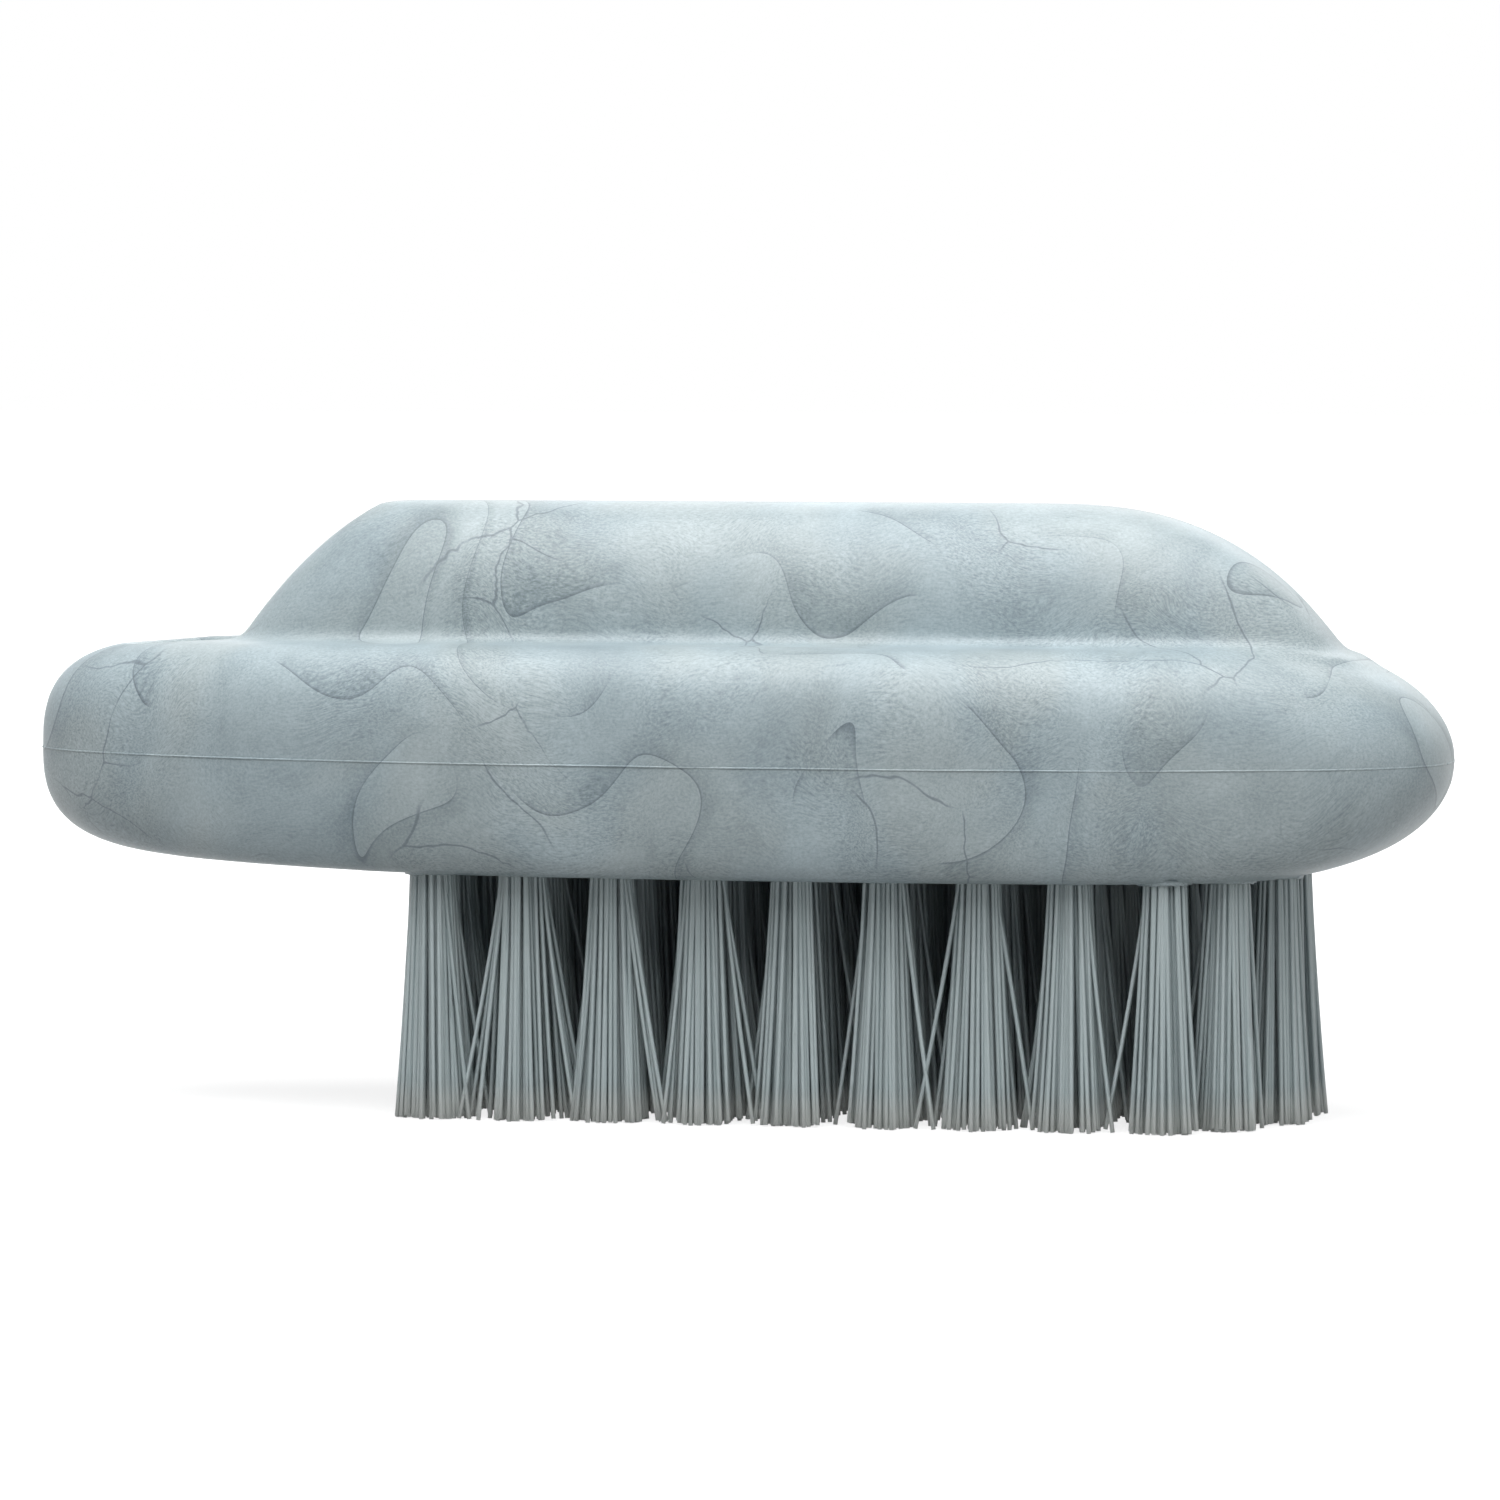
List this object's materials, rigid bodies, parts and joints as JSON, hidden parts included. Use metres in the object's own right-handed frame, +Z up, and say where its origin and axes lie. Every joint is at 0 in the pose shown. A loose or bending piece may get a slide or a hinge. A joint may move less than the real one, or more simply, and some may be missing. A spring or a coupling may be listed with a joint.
{
  "type": "nail brush",
  "caption": "Oval one-piece nail brush: pebble-shaped moulded handle with a raised grip rib, finger hollows, a hanging hole in the heel and rows of nylon tufts below.",
  "frame": {"origin": "on the plane of the bristle tips, under the middle of the handle", "axes": "+Z up from the bristle tips to the grip rib, +X from the hanging-hole heel to the nose, +Y across"},
  "size_m": [0.1022, 0.0358, 0.043],
  "materials": {
    "handle_plastic": "satin, pearl-marbled grey",
    "bristle_nylon": "semi-matt grey nylon filament",
    "anchor_metal": "plain strip"
  },
  "bodies": {
    "root": {"anchors": "anchor_metal", "handle": "handle_plastic", "tuft_back_1": "bristle_nylon", "tuft_back_2": "bristle_nylon", "tuft_back_3": "bristle_nylon", "tuft_back_4": "bristle_nylon", "tuft_back_5": "bristle_nylon", "tuft_back_6": "bristle_nylon", "tuft_back_7": "bristle_nylon", "tuft_back_8": "bristle_nylon", "tuft_back_9": "bristle_nylon", "tuft_front_1": "bristle_nylon", "tuft_front_2": "bristle_nylon", "tuft_front_3": "bristle_nylon", "tuft_front_4": "bristle_nylon", "tuft_front_5": "bristle_nylon", "tuft_front_6": "bristle_nylon", "tuft_front_7": "bristle_nylon", "tuft_front_8": "bristle_nylon", "tuft_front_9": "bristle_nylon", "tuft_inner_back_1": "bristle_nylon", "tuft_inner_back_2": "bristle_nylon", "tuft_inner_back_3": "bristle_nylon", "tuft_inner_back_4": "bristle_nylon", "tuft_inner_back_5": "bristle_nylon", "tuft_inner_back_6": "bristle_nylon", "tuft_inner_back_7": "bristle_nylon", "tuft_inner_back_8": "bristle_nylon", "tuft_inner_back_9": "bristle_nylon", "tuft_inner_front_1": "bristle_nylon", "tuft_inner_front_2": "bristle_nylon", "tuft_inner_front_3": "bristle_nylon", "tuft_inner_front_4": "bristle_nylon", "tuft_inner_front_5": "bristle_nylon", "tuft_inner_front_6": "bristle_nylon", "tuft_inner_front_7": "bristle_nylon", "tuft_inner_front_8": "bristle_nylon", "tuft_inner_front_9": "bristle_nylon", "tuft_middle_1": "bristle_nylon", "tuft_middle_2": "bristle_nylon", "tuft_middle_3": "bristle_nylon", "tuft_middle_4": "bristle_nylon", "tuft_middle_5": "bristle_nylon", "tuft_middle_6": "bristle_nylon", "tuft_middle_7": "bristle_nylon", "tuft_middle_8": "bristle_nylon", "tuft_middle_9": "bristle_nylon", "tuft_nose_1": "bristle_nylon", "tuft_nose_2": "bristle_nylon", "tuft_nose_3": "bristle_nylon", "tuft_nose_4": "bristle_nylon"}
  },
  "joints": []
}
